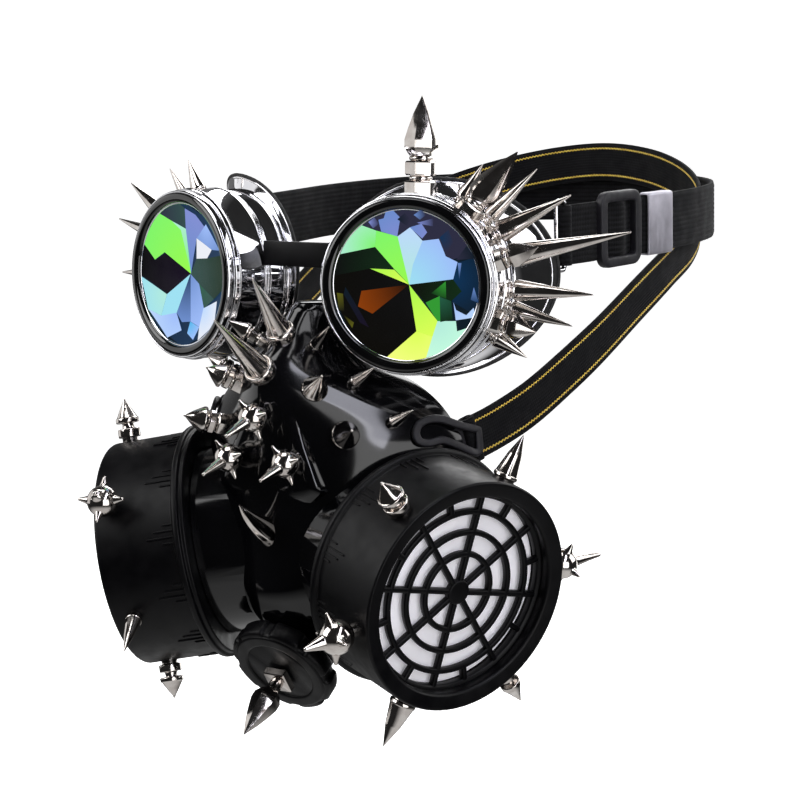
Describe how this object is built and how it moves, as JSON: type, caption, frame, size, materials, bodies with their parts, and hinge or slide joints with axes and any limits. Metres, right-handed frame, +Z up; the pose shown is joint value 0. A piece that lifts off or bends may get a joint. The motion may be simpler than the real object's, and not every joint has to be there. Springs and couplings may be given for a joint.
{
  "type": "steampunk mask",
  "caption": "Round goggles with faceted lenses and a black half-face respirator with side filter canisters, both set with metal spikes, on elastic head straps.",
  "frame": {"origin": "the wearer's nose bridge, midway between the eye cups at eye level, where the set sits", "axes": "-Y the way the face looks, +X the wearer's left, +Z up"},
  "size_m": [0.2164, 0.2866, 0.2163],
  "materials": {
    "chrome": "polished chrome plate",
    "bezel": "black enamel face with bright edges",
    "lens": "cut glass with a dichroic coat",
    "strip": "flat black",
    "elastic": "ribbed elastic webbing",
    "slider": "moulded",
    "clip": "folded sheet",
    "shell": "glossy moulded",
    "canister": "satin moulded",
    "filter": "white filter felt",
    "studs": "polished nickel"
  },
  "bodies": {
    "root": {"goggle_barrel_left": "chrome", "goggle_barrel_right": "chrome", "goggle_cup_left": "chrome", "goggle_cup_right": "chrome", "strap_loop_left": "chrome", "strap_loop_right": "chrome", "goggle_bezel_left": "bezel", "goggle_bezel_right": "bezel", "goggle_lens_left": "lens", "goggle_lens_right": "lens", "goggle_bridge": "strip", "goggle_strap": "elastic", "mask_strap": "elastic", "strap_slider": "slider", "strap_clip": "clip", "mask_shell": "shell", "strap_lug_left": "shell", "strap_lug_right": "shell", "canister_left": "canister", "canister_right": "canister", "grille_left": "canister", "grille_right": "canister", "valve_cap": "canister", "filter_left": "filter", "filter_right": "filter", "valve_spike": "studs", "claw": "studs", "stud_nose_upper": "studs", "stud_nose_lower": "studs", "stud_ball_upper": "studs", "stud_cheek_outer": "studs", "stud_nose_side_left": "studs", "stud_nose_side_right": "studs", "stud_cheek_inner_left": "studs", "stud_cheek_inner_right": "studs", "stud_cheek_upper_left": "studs", "stud_cheek_upper_right": "studs", "stud_cheek_middle_left": "studs", "stud_cheek_middle_right": "studs", "stud_ball_lower_left": "studs", "stud_ball_lower_right": "studs", "canister_stud_left_rear": "studs", "canister_stud_left_top": "studs", "canister_stud_left_front_top": "studs", "canister_stud_left_front": "studs", "canister_stud_left_front_low": "studs", "canister_stud_left_low": "studs", "canister_stud_right_rear": "studs", "canister_stud_right_top": "studs", "canister_stud_right_front_top": "studs", "canister_stud_right_front": "studs", "canister_stud_right_front_low": "studs", "canister_stud_right_low": "studs"}
  },
  "joints": []
}
